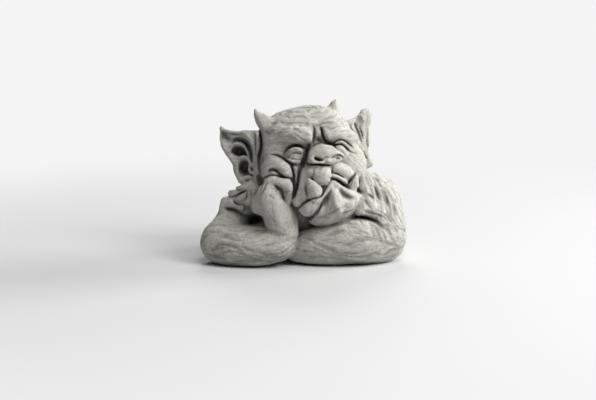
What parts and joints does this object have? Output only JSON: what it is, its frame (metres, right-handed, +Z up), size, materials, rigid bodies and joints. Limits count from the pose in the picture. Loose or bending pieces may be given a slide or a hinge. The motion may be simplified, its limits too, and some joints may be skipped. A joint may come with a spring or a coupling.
{
  "type": "troll garden statue",
  "caption": "Garden statue of a horned, big-eared troll bust that leans on folded arms and rests one cheek on its fist.",
  "frame": {"origin": "middle of the overall box, on the flat underside that the statue stands on", "axes": "+Z up, +X towards the troll's left elbow, -Y the way that the troll looks"},
  "size_m": [0.2732, 0.1966, 0.2137],
  "materials": {
    "cast_stone": "weathered matt"
  },
  "bodies": {
    "root": {"torso": "cast_stone", "right_arm": "cast_stone", "right_hand": "cast_stone", "right_finger": "cast_stone", "left_arm": "cast_stone", "head": "cast_stone", "right_eyeball": "cast_stone", "nose": "cast_stone", "upper_lip": "cast_stone", "lower_jaw": "cast_stone", "right_tusk": "cast_stone", "left_tusk": "cast_stone", "right_horn": "cast_stone", "left_horn": "cast_stone", "right_ear": "cast_stone", "left_ear": "cast_stone"}
  },
  "joints": []
}
